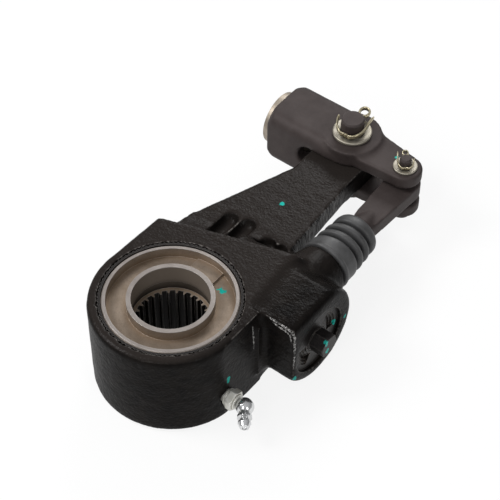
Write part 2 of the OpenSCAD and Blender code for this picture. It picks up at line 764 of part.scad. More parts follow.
// flat bar with an eye for the link pin, a round shank and a tongue inside the boot
module link() {
  eye_r = fork_end_r - 0.2;
  color(phosphate) difference() {
    union() {
      intersection() {
        translate([0, 0, arm_z - link_t / 2]) linear_extrude(link_t)
          strap([link_x, link_y], eye_r, [rack_x, shank_y1], link_shank_r);
        translate([rack_x, shank_y0, arm_z]) along_y()
          cylinder(r1 = link_shank_r, r2 = 3 * link_shank_r, h = arm_len);
      }
      translate([rack_x, shank_y0, arm_z]) along_y() cylinder(r = link_shank_r, h = shank_y1 - shank_y0 - 4);
      translate([rack_x, shank_y1 - 4 - eps, arm_z]) along_y()
        cylinder(r1 = link_shank_r, r2 = link_t / 2, h = 10);
      translate([0, 0, arm_z - tongue_t / 2]) linear_extrude(tongue_t)
        strap([rack_x, pivot_y], tongue_r, [rack_x, shank_y0 + 2], tongue_r - 0.1);
    }
    translate([link_x, link_y, 0]) cylinder(r = link_pin_r + 1.6, h = hub_h);
    translate([rack_x, pivot_y, 0]) cylinder(r = rack_pin_r + pivot_room, h = hub_h);
  }
}

module link_bushing() {
  color(bronze) translate([link_x, link_y, arm_z - link_t / 2])
    tube(link_pin_r + 1.6 - seat_fit, link_pin_r + run_fit, link_t);
}

// concave run from the pin boss down to the fork arm
module boss_fillet() {
  rise = clevis_top - fork_top;
  intersection() {
    linear_extrude(clevis_top) fork_plan();
    translate([0, arm_len, fork_top - over]) rotate_extrude() difference() {
      square([pin_boss_r + rise, rise + over]);
      translate([pin_boss_r + rise, rise + over]) circle(r = rise);
    }
  }
}

module fork_plan() {
  strap([0, arm_len], pin_boss_r - 3, [link_x, link_y], fork_end_r);
}

module clevis() {
  slot_len = clevis_slot + link_reach + 2 * fork_end_r;
  color(phosphate) difference() {
    union() {
      translate([-clevis_len, arm_len, arm_z]) along_x() linear_extrude(clevis_len - 2)
        rounded_rect(clevis_w, clevis_w, clevis_corner);
      translate([0, arm_len, clevis_bottom]) cylinder(r = pin_boss_r, h = clevis_w);
      translate([0, 0, fork_bottom]) linear_extrude(fork_top - fork_bottom) fork_plan();
      boss_fillet();
      translate([0, 0, 2 * arm_z]) mirror([0, 0, 1]) boss_fillet();
    }
    translate([-clevis_slot + slot_half, 0, arm_z - slot_half]) cube([slot_len, 2 * arm_len, 2 * slot_half]);
    translate([-clevis_slot + slot_half, 0, arm_z]) along_y() cylinder(r = slot_half, h = 2 * arm_len);
    translate([0, arm_len, -over]) cylinder(r = clevis_pin_r + seat_fit, h = 2 * hub_h);
    translate([link_x, link_y, -over]) cylinder(r = link_pin_r + seat_fit, h = 2 * hub_h);
    translate([-clevis_len - over, arm_len, arm_z]) along_x()
      cylinder(r = rod_bush_r + seat_fit, h = clevis_len - clevis_slot + 2 * over);
    translate([-clevis_len, arm_len, arm_z]) along_x() rotate_extrude() polygon([
      [clevis_w / 2 + 1.2, -over], [clevis_w, -over], [clevis_w, clevis_w / 2], [clevis_w / 2 + 4.6, 3.4]
    ]);
  }
}

// threaded bushing with a flange, as a smooth bore at the thread's inner radius
module threaded_bushing() {
  color(zinc) translate([-clevis_len, arm_len, arm_z]) along_x() difference() {
    union() {
      translate([0, 0, -rod_flange_t]) cylinder(r = rod_flange_r, h = rod_flange_t);
      translate([0, 0, -eps]) cylinder(r = rod_bush_r, h = clevis_len - clevis_slot + eps);
    }
    translate([0, 0, -rod_flange_t - over]) cylinder(r = rod_thread_r, h = clevis_len + over);
  }
}

// headed pin with a bevelled tip and a cross hole for its cotter
module headed_pin(r, head_r, bottom, top, cotter_r, cotter_z) {
  difference() {
    union() {
      translate([0, 0, bottom - pin_head_t]) cylinder(r = head_r, h = pin_head_t);
      translate([0, 0, bottom - eps]) cylinder(r = r, h = top - bottom - 1);
      translate([0, 0, top - 1 - 2 * eps]) cylinder(r1 = r, r2 = r - 0.8, h = 1);
    }
    translate([0, 2 * r, cotter_z]) rotate([90, 0, 0]) cylinder(r = cotter_r + 0.1, h = 4 * r);
  }
}

// split cotter: eye behind the pin and two legs curled round its front
module cotter(pin_r, wire, z, curl) {
  bend_r = pin_r + 0.5 + wire;
  eye_r = 2.2 * wire;
  eye_y = pin_r + 2 + wire + eye_r;
  translate([0, eye_y, z]) rotate_extrude() translate([eye_r, 0]) circle(r = wire * 0.8);
  translate([0, eye_y - eye_r, z]) rotate([90, 0, 0]) cylinder(r = wire, h = eye_y - eye_r + bend_r);
  translate([0, 0, z]) rotate([0, 0, -90 - curl]) rotate_extrude(angle = 2 * curl)
    translate([bend_r, 0]) circle(r = wire * 0.85);
}

module clevis_pin() {
  color(phosphate) translate([0, arm_len, 0])
    headed_pin(clevis_pin_r, 9.5, clevis_bottom, pin_top, cotter_big, cotter_big_z);
}

module clevis_washer() {
  color(zinc) translate([0, arm_len, clevis_top]) tube(washer_big_r, clevis_pin_r + seat_fit, washer_big_t);
}

module clevis_cotter() {
  color(zinc) translate([0, arm_len, 0]) cotter(clevis_pin_r, cotter_big, cotter_big_z, 100);
}

module link_pin() {
  color(phosphate) translate([link_x, link_y, 0])
    headed_pin(link_pin_r, 5.6, fork_bottom, link_pin_top, cotter_small, cotter_small_z);
}

module link_washer() {
  color(zinc) translate([link_x, link_y, fork_top])
    tube(washer_small_r, link_pin_r + seat_fit, washer_small_t);
}

module link_cotter() {
  color(zinc) translate([link_x, link_y, 0]) cotter(link_pin_r, cotter_small, cotter_small_z, 105);
}

module fitting_body() {
  color(zinc) translate([hub_flat, fitting_y, fitting_z]) along_x() difference() {
    union() {
      translate([0, 0, -4.6]) cylinder(r = thread_r - seat_fit, h = 4.6 + eps);
      cylinder(r = fitting_af / 2 / cos(30), h = fitting_hex_t, $fn = 6);
      translate([0, 0, fitting_hex_t - eps]) cylinder(r = 3.6, h = 2.2);
    }
    translate([0, 0, -over - 4.6]) cylinder(r = 1.2, h = 4.6 + fitting_hex_t + 2 * over + 2.2);
  }
}

// ball elbow with the stepped nipple head
module fitting_elbow() {
  tip = 11.2;
  color(zinc) difference() {
    union() {
      translate([fitting_ball_x, fitting_y, fitting_z]) rotate([0, 0, nipple_angle]) along_x()
      rotate_extrude() {
        intersection() {
          circle(r = fitting_ball_r);
          translate([0, -hub_r]) square(2 * hub_r);
        }
        polygon([
          [0, 0], [2.9, 0], [2.9, 5], [3.7, 5.6], [3.7, 7], [2.4, 7.8], [2.4, 8.4], [3.3, 9.4], [3.3, 10.2],
          [2.3, 12.6], [1.1, 13.1], [1.1, tip], [0, tip]
        ]);
      }
    }
    translate([hub_flat, fitting_y, fitting_z]) along_x()
      cylinder(r = 3.6 + seat_fit, h = fitting_hex_t + 2.2 + seat_fit);
  }
}

module fitting_ball() {
  color(steel) translate([fitting_ball_x, fitting_y, fitting_z]) rotate([0, 0, nipple_angle])
    translate([12.28, 0, 0]) sphere(r = 1.06, $fn = 36);
}

housing();
arm_bushing();
gear_retainer();
gear_seal_upper();
gear_seal_lower();
lower_retainer();
worm_wheel();
worm_shaft();
worm_bush();
thrust_washer();
clutch_hub();
wrap_spring();
drive_pinion();
clutch_springs();
spring_nut();
end_cap();
end_cap_seal();
hex_extension();
rack();
rack_pin();
rack_bush();
boot();
link();
link_bushing();
clevis();
threaded_bushing();
clevis_pin();
clevis_washer();
clevis_cotter();
link_pin();
link_washer();
link_cotter();
fitting_body();
fitting_elbow();
fitting_ball();
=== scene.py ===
"""Looks of the brake slack adjuster: cast, forged and rubber pieces, materials, studio and camera.

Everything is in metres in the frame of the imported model: +Z along the camshaft axis, +Y along the
arm and +X towards the adjusting hex. Tables of places and sizes are in millimetres.
"""

import json
import math

import bmesh
import bpy
import numpy as np
from mathutils import Matrix, Vector, noise


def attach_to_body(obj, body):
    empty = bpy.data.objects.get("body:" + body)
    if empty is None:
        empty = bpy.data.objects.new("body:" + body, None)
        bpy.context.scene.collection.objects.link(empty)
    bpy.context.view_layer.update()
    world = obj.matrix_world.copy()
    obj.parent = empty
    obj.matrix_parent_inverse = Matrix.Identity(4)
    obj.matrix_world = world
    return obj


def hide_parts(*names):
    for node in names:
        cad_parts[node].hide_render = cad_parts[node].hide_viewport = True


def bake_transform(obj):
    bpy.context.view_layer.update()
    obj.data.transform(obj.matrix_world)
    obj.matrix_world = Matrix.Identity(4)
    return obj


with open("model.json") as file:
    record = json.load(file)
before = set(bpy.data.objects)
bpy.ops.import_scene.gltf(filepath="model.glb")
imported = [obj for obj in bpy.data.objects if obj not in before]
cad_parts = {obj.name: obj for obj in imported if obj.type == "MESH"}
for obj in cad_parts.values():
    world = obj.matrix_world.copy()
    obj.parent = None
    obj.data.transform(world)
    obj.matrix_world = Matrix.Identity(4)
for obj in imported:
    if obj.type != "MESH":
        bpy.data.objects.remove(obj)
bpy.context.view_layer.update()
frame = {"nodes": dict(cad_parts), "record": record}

MM = 0.001
NODES = frame["nodes"]

# places of the solids, in millimetres
WORM_AXIS = (42.0, 26.0)  # Y and Z
CLEVIS_PIN = (0.0, 152.4)  # X and Y
LINK_PIN = (35.951, 150.516)  # X and Y
BOOT_AXIS = (35.951, 32.0)  # X and Z, also the axis of the rack
BOOT_START = 78.0
RACK_CLEAR = 8.0
WHEEL_FACE = 54.5
FITTING_AXIS = (-6.5, 14.5)  # Y and Z

MARKING_GREEN = (0.012, 0.40, 0.335, 1.0)


# materials


class Material:
    """A node material with short calls for the nodes that the surfaces share."""

    def __init__(self, name):
        self.mat = bpy.data.materials.new(name)
        self.mat.use_nodes = True
        self.tree = self.mat.node_tree
        self.bsdf = self.tree.nodes["Principled BSDF"]
        self.place = self.node("ShaderNodeTexCoord").outputs["Object"]

    def node(self, kind, **settings):
        made = self.tree.nodes.new(kind)
        for key, value in settings.items():
            setattr(made, key, value)
        return made

    def feed(self, socket, value):
        if isinstance(value, bpy.types.NodeSocket):
            self.tree.links.new(value, socket)
        else:
            socket.default_value = value

    def math(self, operation, a, b=0.0, clamp=False):
        made = self.node("ShaderNodeMath", operation=operation, use_clamp=clamp)
        self.feed(made.inputs[0], a)
        self.feed(made.inputs[1], b)
        return made.outputs[0]

    def product(self, first, *others):
        for other in others:
            first = self.math("MULTIPLY", first, other)
        return first

    def stretched(self, scale):
        made = self.node("ShaderNodeVectorMath", operation="MULTIPLY")
        self.feed(made.inputs[0], self.place)
        made.inputs[1].default_value = scale
        return made.outputs[0]

    def noise(self, size, detail=3.0, roughness=0.55, place=None):
        """Noise whose blotches are about size millimetres wide."""
        made = self.node("ShaderNodeTexNoise")
        self.feed(made.inputs["Vector"], place or self.place)
        made.inputs["Scale"].default_value = 1.0 / (size * MM)
        made.inputs["Detail"].default_value = detail
        made.inputs["Roughness"].default_value = roughness
        return made.outputs["Fac"]

    def cells(self, size):
        made = self.node("ShaderNodeTexVoronoi")
        self.feed(made.inputs["Vector"], self.place)
        made.inputs["Scale"].default_value = 1.0 / (size * MM)
        return made.outputs["Distance"]

    def spread(self, value, low, high, start=0.0, end=1.0):
        made = self.node("ShaderNodeMapRange")
        self.feed(made.inputs["Value"], value)
        made.inputs["From Min"].default_value = low
        made.inputs["From Max"].default_value = high
        made.inputs["To Min"].default_value = start
        made.inputs["To Max"].default_value = end
        return made.outputs["Result"]

    def mix(self, share, first, second):
        made = self.node("ShaderNodeMix", data_type="RGBA")
        self.feed(made.inputs["Factor"], share)
        self.feed(made.inputs[6], first)
        self.feed(made.inputs[7], second)
        return made.outputs[2]

    def axis(self, name, source=None):
        made = self.node("ShaderNodeSeparateXYZ")
        self.feed(made.inputs[0], source or self.place)
        return made.outputs[name]

    def facing(self, name):
        normal = self.node("ShaderNodeNewGeometry").outputs["Normal"]
        return self.axis(name, normal)

    def edges(self, radius, low=0.004, high=0.12):
        """One on edges sharper than radius millimetres, nought on open faces."""
        soft = self.node("ShaderNodeBevel", samples=6)
        soft.inputs["Radius"].default_value = radius * MM
        dot = self.node("ShaderNodeVectorMath", operation="DOT_PRODUCT")
        self.feed(dot.inputs[0], soft.outputs["Normal"])
        self.feed(dot.inputs[1], self.node("ShaderNodeNewGeometry").outputs["Normal"])
        return self.spread(self.math("SUBTRACT", 1.0, dot.outputs["Value"]), low, high)

    def crests(self, low=0.53, high=0.6):
        """One on the outer edges of a finely meshed skin."""
        return self.spread(self.node("ShaderNodeNewGeometry").outputs["Pointiness"], low, high)

    def corners(self, distance):
        """One deep in corners and grooves, nought on open faces."""
        made = self.node("ShaderNodeAmbientOcclusion", samples=8, only_local=True)
        made.inputs["Distance"].default_value = distance * MM
        return self.math("SUBTRACT", 1.0, made.outputs["AO"])

    def bump(self, height, depth, strength=1.0, soft_edge=0.0):
        made = self.node("ShaderNodeBump")
        made.inputs["Strength"].default_value = strength
        made.inputs["Distance"].default_value = depth * MM
        self.feed(made.inputs["Height"], height)
        if soft_edge:
            bevel = self.node("ShaderNodeBevel", samples=6)
            bevel.inputs["Radius"].default_value = soft_edge * MM
            self.feed(made.inputs["Normal"], bevel.outputs["Normal"])
        self.feed(self.bsdf.inputs["Normal"], made.outputs["Normal"])

    def dabs(self, spots, colour):
        """Lays brushed dabs of marking paint over the colour.

        Each spot is a place and three half widths, in millimetres.
        """
        ragged = self.noise(1.6, 4.0)
        total = 0.0
        for place, half in spots:
            shift = self.node("ShaderNodeVectorMath", operation="SUBTRACT")
            self.feed(shift.inputs[0], self.place)
            shift.inputs[1].default_value = [c * MM for c in place]
            scale = self.node("ShaderNodeVectorMath", operation="DIVIDE")
            self.feed(scale.inputs[0], shift.outputs[0])
            scale.inputs[1].default_value = [h * MM for h in half]
            length = self.node("ShaderNodeVectorMath", operation="LENGTH")
            self.feed(length.inputs[0], scale.outputs[0])
            rim = self.spread(ragged, 0.3, 0.7, -0.45, 0.45)
            reach = self.math("ADD", length.outputs["Value"], rim)
            total = self.math("MAXIMUM", total, self.spread(reach, 1.0, 0.88))
        return self.mix(total, colour, MARKING_GREEN)

    def finish(self, colour, roughness, **fixed):
        """Feeds the shader; fixed gives sockets that are the same all over, by name."""
        self.feed(self.bsdf.inputs["Base Color"], colour)
        self.feed(self.bsdf.inputs["Roughness"], roughness)
        for key, value in fixed.items():
            self.bsdf.inputs[key.replace("_", " ")].default_value = value
        return self.mat


def black_paint():
    """Paint over a rough casting, scoured on the side of the arm under a painted highlight, worn on
    its edges with painted glints, and painted lighter on faces that look up.
    """
    m = Material("black_paint")
    broad = m.noise(7.0, 3.0)
    peel = m.noise(1.3, 2.0, 0.5)
    grain = m.noise(0.7, 3.0, 0.6)
    pits = m.cells(2.4)
    # The arm's right side: scoured streaks that are also a painted highlight along that side.
    scour_and_highlight = m.product(
        m.spread(m.facing("X"), 0.7, 0.9),
        m.spread(m.axis("Y"), 0.070, 0.078),
        m.spread(m.axis("Y"), 0.128, 0.116),
        m.spread(m.axis("X"), 0.030, 0.026),
    )
    strokes = m.noise(0.9, 4.0, 0.6, m.stretched((1.0, 1.0, 0.12)))
    streak = m.product(m.spread(strokes, 0.42, 0.6), scour_and_highlight)
    dark, light = (0.0042, 0.0036, 0.0034, 1), (0.0095, 0.0078, 0.0068, 1)
    colour = m.mix(m.spread(broad, 0.35, 0.7), dark, light)
    # Painted light: faces that look up are painted lighter, fading out towards the worm boss.
    lit_from_above = m.spread(m.facing("Z"), 0.5, 0.95)
    lighter_on_top = m.product(lit_from_above, m.spread(m.axis("X"), 0.030, 0.046, 0.85, 0.0))
    colour = m.mix(lighter_on_top, colour, (0.023, 0.0190, 0.0170, 1))
    # Sharp crests painted pale in patches: worn paint and painted glints.
    wear_and_glint = m.product(m.crests(0.53, 0.57), m.spread(peel, 0.36, 0.58))
    colour = m.mix(m.product(wear_and_glint, 0.75), colour, (0.24, 0.22, 0.205, 1))
    # Pale streaks on the arm's right side: scouring and a painted highlight.
    colour = m.mix(m.product(streak, 0.8), colour, (0.30, 0.295, 0.29, 1))
    colour = m.dabs(
        [
            ((40.0, -5.4, 26.5), (1.6, 1.2, 2.2)),
            ((60.6, 21.6, 14.6), (1.6, 1.6, 2.6)),
            ((60.6, 63.7, 24.3), (1.3, 1.0, 1.3)),
            ((-3.6, 94.8, 39.0), (1.2, 1.5, 1.2)),
        ],
        colour,
    )
    on_walls = m.spread(m.facing("Z"), 0.7, 0.3, 0.0, 0.16)
    gloss = m.math("ADD", m.spread(grain, 0.3, 0.7, 0.17, 0.32), on_walls)
    height = peel
    for relief, share in ((grain, 0.32), (pits, 0.4), (streak, 0.6)):
        height = m.math("ADD", height, m.product(relief, share))
    m.bump(height, 0.27, 0.8)
    return m.finish(colour, gloss, Specular_IOR_Level=0.045)


def flash_wear_and_glint():
    """Casting flash whose paint is rubbed off in spots, painted pale also as glints on the bead."""
    m = Material("flash_wear_and_glint")
    flash_spots = m.noise(0.9, 4.0, 0.6)
    # Pale spots: rubbed paint and painted glints on the flash.
    colour = m.mix(m.spread(flash_spots, 0.46, 0.60), (0.010, 0.0088, 0.008, 1), (0.33, 0.32, 0.31, 1))
    m.bump(flash_spots, 0.15, 0.6)
    gloss = m.spread(flash_spots, 0.3, 0.7, 0.42, 0.28)
    return m.finish(colour, gloss, Metallic=0.3, Specular_IOR_Level=0.3)


def cap_paint():
    m = Material("cap_paint")
    grain = m.noise(1.0, 4.0, 0.6)
    broad = m.noise(6.0, 2.0)
    colour = m.mix(m.spread(broad, 0.35, 0.7), (0.006, 0.0052, 0.005, 1), (0.014, 0.0115, 0.010, 1))
    # Edges painted pale in patches: worn paint and painted highlights on the ridges.
    wear_and_glint = m.product(m.edges(0.8), m.spread(grain, 0.4, 0.6))
    colour = m.mix(m.product(wear_and_glint, 0.7), colour, (0.20, 0.17, 0.15, 1))
    colour = m.dabs([((58.3, 57.3, 24.1), (1.2, 1.2, 1.9))], colour)
    m.bump(grain, 0.2, 0.6, 0.5)
    return m.finish(colour, m.spread(grain, 0.3, 0.7, 0.32, 0.48), Specular_IOR_Level=0.15)


def black_steel():
    m = Material("black_steel")
    grain = m.noise(0.8, 4.0)
    colour = m.mix(m.spread(grain, 0.35, 0.65), (0.010, 0.009, 0.009, 1), (0.022, 0.019, 0.018, 1))
    colour = m.mix(m.product(m.edges(0.5), 0.75), colour, (0.12, 0.11, 0.10, 1))
    spots = [((66.4, 40.3, 24.2), (1.2, 1.3, 1.6)), ((66.2, 39.6, 30.2), (1.4, 1.2, 2.2))]
    colour = m.dabs(spots, colour)
    m.bump(grain, 0.12, 0.6, 0.35)
    gloss = m.spread(grain, 0.3, 0.7, 0.36, 0.52)
    return m.finish(colour, gloss, Metallic=0.3, Specular_IOR_Level=0.2)


def sintered_steel():
    """The worm wheel: brown in its recess, machined bright on its lands, painted dark down in the
    spline as shade.
    """
    m = Material("sintered_steel")
    broad = m.noise(9.0, 4.0, 0.6)
    grain = m.noise(0.7, 4.0, 0.65)
    height = m.axis("Z")
    flat = m.node("ShaderNodeVectorMath", operation="LENGTH")
    m.feed(flat.inputs[0], m.stretched((1.0, 1.0, 0.0)))
    radius = flat.outputs["Value"]
    turned = m.math("SINE", m.product(radius, 14000.0))
    machined = m.spread(height, (WHEEL_FACE - 0.5) * MM, (WHEEL_FACE - 0.25) * MM)
    inside = m.spread(radius, 21.0 * MM, 20.9 * MM)
    bore = m.product(inside, m.spread(height, 54.2 * MM, 53.8 * MM))
    floor = m.mix(m.spread(broad, 0.3, 0.7), (0.205, 0.160, 0.120, 1), (0.292, 0.236, 0.187, 1))
    floor = m.mix(m.spread(grain, 0.52, 0.72, 0.0, 0.35), floor, (0.110, 0.080, 0.056, 1))
    floor = m.mix(m.product(m.corners(3.5), 0.8), floor, (0.250, 0.165, 0.092, 1))
    bright = m.mix(m.spread(broad, 0.3, 0.7), (0.240, 0.213, 0.196, 1), (0.312, 0.282, 0.262, 1))
    # Painted shade in the spline bore: walls darker the deeper they lie; upward faces keep the
    # lighter floor colour as painted light.
    depth = m.spread(height, 36.0 * MM, 46.0 * MM)
    wall = m.mix(depth, (0.007, 0.0055, 0.0045, 1), (0.150, 0.122, 0.098, 1))
    lit_from_above = m.spread(m.facing("Z"), 0.6, 0.9)
    colour = m.mix(machined, floor, bright)
    colour = m.mix(bore, colour, m.mix(lit_from_above, wall, floor))
    colour = m.mix(m.product(m.edges(0.35), 0.5), colour, (0.50, 0.47, 0.44, 1))
    colour = m.dabs([((13.95, 22.55, 48.5), (2.2, 1.7, 1.2))], colour)
    relief = m.math("ADD", m.product(turned, 0.06), grain)
    m.bump(relief, 0.10, 0.5, 0.3)
    gloss = m.math("ADD", m.spread(grain, 0.3, 0.7, 0.40, 0.56), m.product(machined, -0.1))
    m.feed(m.bsdf.inputs["Metallic"], m.spread(bore, 0.0, 1.0, 0.5, 0.0))
    return m.finish(colour, gloss, Specular_IOR_Level=0.06)


def phosphate_steel():
    m = Material("phosphate_steel")
    broad = m.noise(11.0, 4.0, 0.6)
    grain = m.noise(0.55, 5.0, 0.7)
    colour = m.mix(m.spread(broad, 0.3, 0.7), (0.037, 0.0275, 0.0258, 1), (0.058, 0.0455, 0.043, 1))
    colour = m.mix(m.spread(grain, 0.56, 0.72, 0.0, 0.35), colour, (0.13, 0.112, 0.106, 1))
    # Painted shade: corners and grooves darkened to near black.
    colour = m.mix(m.product(m.corners(6.0), 0.7), colour, (0.012, 0.0095, 0.009, 1))
    colour = m.mix(m.product(m.edges(0.9), 0.3), colour, (0.17, 0.155, 0.15, 1))
    colour = m.dabs([((28.6, 153.6, 47.0), (1.0, 1.0, 1.0))], colour)
    relief = m.math("ADD", grain, m.product(broad, 0.8))
    m.bump(relief, 0.16, 0.55, 0.5)
    gloss = m.spread(grain, 0.3, 0.7, 0.52, 0.68)
    return m.finish(colour, gloss, Metallic=0.25, Specular_IOR_Level=0.3)


def zinc_plate(name, low, high, gloss, metallic=0.85, dirt_and_shade=0.8, relief=0.06):
    m = Material(name)
    broad = m.noise(4.0, 3.0)
    fine = m.noise(0.5, 4.0)
    colour = m.mix(m.spread(broad, 0.35, 0.65), low, high)
    # Corners and grooves darkened brown: painted shade and dirt; the speckles below are dirt.
    colour = m.mix(m.product(m.corners(3.0), dirt_and_shade), colour, (0.13, 0.11, 0.075, 1))
    colour = m.mix(m.spread(fine, 0.60, 0.74, 0.0, 0.5 * dirt_and_shade), colour, (0.30, 0.26, 0.18, 1))
    m.bump(fine, relief, 0.5, 0.25)
    return m.finish(colour, m.spread(fine, 0.3, 0.7, gloss - 0.06, gloss + 0.08), Metallic=metallic)


def rubber(name, low, high):
    m = Material(name)
    broad = m.noise(8.0, 4.0)
    grain = m.noise(0.4, 3.0)
    colour = m.mix(m.spread(broad, 0.3, 0.7), low, high)
    # Upward faces turn lighter grey in broad patches.
    lighter_on_top = m.product(m.spread(m.facing("Z"), -0.2, 1.0), m.spread(broad, 0.35, 0.75))
    colour = m.mix(m.product(lighter_on_top, 0.35), colour, (0.15, 0.15, 0.151, 1))
    # Painted shade: folds and corners darkened to near black.
    colour = m.mix(m.product(m.corners(3.5), 0.9), colour, (0.010, 0.010, 0.011, 1))
    m.bump(grain, 0.08, 0.5)
    return m.finish(colour, m.spread(grain, 0.3, 0.7, 0.40, 0.54), Specular_IOR_Level=0.4)


def turned_metal(name, low, high):
    m = Material(name)
    broad = m.noise(3.0, 3.0)
    fine = m.noise(0.6, 4.0)
    colour = m.mix(m.spread(broad, 0.3, 0.7), low, high)
    # Painted shade: corners and grooves darkened.
    colour = m.mix(m.product(m.corners(3.0), 0.7), colour, (0.05, 0.045, 0.04, 1))
    m.bump(fine, 0.05, 0.5, 0.3)
    return m.finish(colour, m.spread(fine, 0.3, 0.7, 0.28, 0.42), Metallic=0.9)


LOOKS = {
    "black_cast": black_paint(),
    "flash_wear_and_glint": flash_wear_and_glint(),
    "cap": cap_paint(),
    "dark_steel": black_steel(),
    "sintered_steel": sintered_steel(),
    "phosphate_steel": phosphate_steel(),
    "zinc_steel": zinc_plate("yellow_zinc", (0.30, 0.275, 0.225, 1), (0.43, 0.40, 0.335, 1), 0.5),
    "split_pin": zinc_plate("split_pin_zinc", (0.44, 0.385, 0.25, 1), (0.58, 0.52, 0.37, 1), 0.36),
    "bush_steel": zinc_plate("bush_steel", (0.30, 0.255, 0.205, 1), (0.40, 0.35, 0.29, 1), 0.5),
    "fitting_zinc": zinc_plate(
        "bright_zinc", (0.66, 0.665, 0.67, 1), (0.78, 0.785, 0.79, 1), 0.22, 0.9, 0.35, 0.015
    ),
    "fitting_frosted": zinc_plate(
        "frosted_zinc", (0.70, 0.69, 0.62, 1), (0.84, 0.835, 0.79, 1), 0.36, 0.45, 0.6
    ),
    "steel": turned_metal("turned_steel", (0.42, 0.41, 0.39, 1), (0.58, 0.57, 0.54, 1)),
    "bronze": turned_metal("bronze", (0.42, 0.30, 0.15, 1), (0.58, 0.43, 0.24, 1)),
    "seal_rubber": rubber("seal_rubber", (0.018, 0.018, 0.018, 1), (0.03, 0.03, 0.03, 1)),
    "boot_rubber": rubber("boot_rubber", (0.040, 0.0395, 0.040, 1), (0.060, 0.0595, 0.060, 1)),
}


def dress(obj, material):
    obj.data.materials.clear()
    obj.data.materials.append(material)


def dress_nodes():
    """Gives each solid the look of its material slot, or its own."""
    special = {
        "end_cap": "cap",
        "threaded_bushing": "bush_steel",
        "fitting_body": "fitting_frosted",
        "fitting_elbow": "fitting_zinc",
        "fitting_ball": "fitting_zinc",
    }
    for row in frame["record"]["subparts"]:
        name = row["node"]
        dress(NODES[name], LOOKS[special.get(name, row["material_slot"])])


# mesh helpers


def new_piece(name, mesh):
    obj = bpy.data.objects.new(name, mesh)
    bpy.context.scene.collection.objects.link(obj)
    return obj


def attach(obj, look, body, node=None):
    """Dresses a piece, hides the solid that it stands for and lets it ride on its body."""
    dress(obj, LOOKS[look])
    if node:
        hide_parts(node)
    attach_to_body(obj, body)


def smooth_mesh(name, verts, faces):
    """A smooth mesh whose faces look outwards."""
    mesh = bpy.data.meshes.new(name)
    mesh.from_pydata(verts, [], faces)
    work = bmesh.new()
    work.from_mesh(mesh)
    bmesh.ops.recalc_face_normals(work, faces=work.faces)
    work.to_mesh(mesh)
    work.free()
    for face in mesh.polygons:
        face.use_smooth = True
    return mesh


def tube_faces(first, count, ring):
    """Faces of a closed tube: count rings of points, and a cap on both ends."""
    faces = []
    for i in range(count - 1):
        a, b = first + i * ring, first + (i + 1) * ring
        for k in range(ring):
            j = (k + 1) % ring
            faces.append((a + k, a + j, b + j, b + k))
    faces.append(tuple(first + k for k in reversed(range(ring))))
    faces.append(tuple(first + (count - 1) * ring + k for k in range(ring)))
    return faces


def lathe_faces(turns, rows):
    """Faces of a closed section with rows points, turned once round."""
    faces = []
    for k in range(turns):
        here, ahead = k * rows, (k + 1) % turns * rows
        for i in range(rows):
            j = (i + 1) % rows
            faces.append((here + i, ahead + i, ahead + j, here + j))
    return faces


def smooth_between(p, q, r, s, t):
    """Value at the share t between q and r, on a smooth curve through all four."""
    bend = (2 * p - 5 * q + 4 * r - s) * t * t
    twist = (3 * q - p - 3 * r + s) * t * t * t
    return 0.5 * (2 * q + (r - p) * t + bend + twist)


def spline_through(points, steps):
    """Smooth run of points through the given ones."""
    run = []
    ends = [points[0], *points, points[-1]]
    for four in zip(ends, ends[1:], ends[2:], ends[3:]):
        for k in range(steps):
            run.append(tuple(smooth_between(*values, k / steps) for values in zip(*four)))
    run.append(tuple(points[-1]))
    return run


def ramp(value, low, high):
    """Nought at low and one at high, straight between them."""
    return np.clip((value - low) / (high - low), 0.0, 1.0)


def read_points(rows, key):
    flat = np.empty(len(rows) * 3)
    rows.foreach_get(key, flat)
    return flat.reshape(-1, 3)


def write_points(mesh, points):
    mesh.vertices.foreach_set("co", points.ravel())
    mesh.update()


# pieces with cast or forged skins


def remeshed(node, name, voxel):
    """A closed even mesh of a node, voxel millimetres wide."""
    mesh = NODES[node].data.copy()
    work = bmesh.new()
    work.from_mesh(mesh)
    bmesh.ops.remove_doubles(work, verts=work.verts, dist=1e-7)
    work.to_mesh(mesh)
    work.free()
    obj = new_piece(name, mesh)
    remesh = obj.modifiers.new("even", "REMESH")
    remesh.mode = "VOXEL"
    remesh.voxel_size = voxel * MM
    graph = bpy.context.evaluated_depsgraph_get()
    even = bpy.data.meshes.new_from_object(obj.evaluated_get(graph))
    obj.modifiers.clear()
    obj.data = even
    even.name = name
    bpy.data.meshes.remove(mesh)
    return obj


def neighbour_shift(points, edges, degree):
    """Way from each point to the middle of its neighbours."""
    total = np.zeros_like(points)
    for axis in range(3):
        total[:, axis] = np.bincount(edges[:, 0], points[edges[:, 1], axis], len(points))
        total[:, axis] += np.bincount(edges[:, 1], points[edges[:, 0], axis], len(points))
    return total / degree[:, None] - points


def soften(obj, free, rounds, fill_rounds):
    """Rounds the edges of an even mesh, then fills its inner corners.

    free gives each point's share of the move, and these shares are returned.
    """
    mesh = obj.data
    points = read_points(mesh.vertices, "co")
    count = len(points)
    edges = np.empty(len(mesh.edges) * 2, dtype=np.int64)
    mesh.edges.foreach_get("vertices", edges)
    edges = edges.reshape(-1, 2)
    degree = np.maximum(np.bincount(edges.ravel(), minlength=count), 1).astype(float)
    share = free(points / MM)[:, None]
    for _ in range(rounds):
        points += 0.5 * share * neighbour_shift(points, edges, degree)
    for step in range(fill_rounds):
        if step % 4 == 0:
            write_points(mesh, points)
            normals = read_points(mesh.vertex_normals, "vector")
        move = neighbour_shift(points, edges, degree)
        outward = np.sum(move * normals, axis=1, keepdims=True)
        points += 0.5 * share * np.where(outward > 0.02 * MM, move, 0.0)
    write_points(mesh, points)
    return share


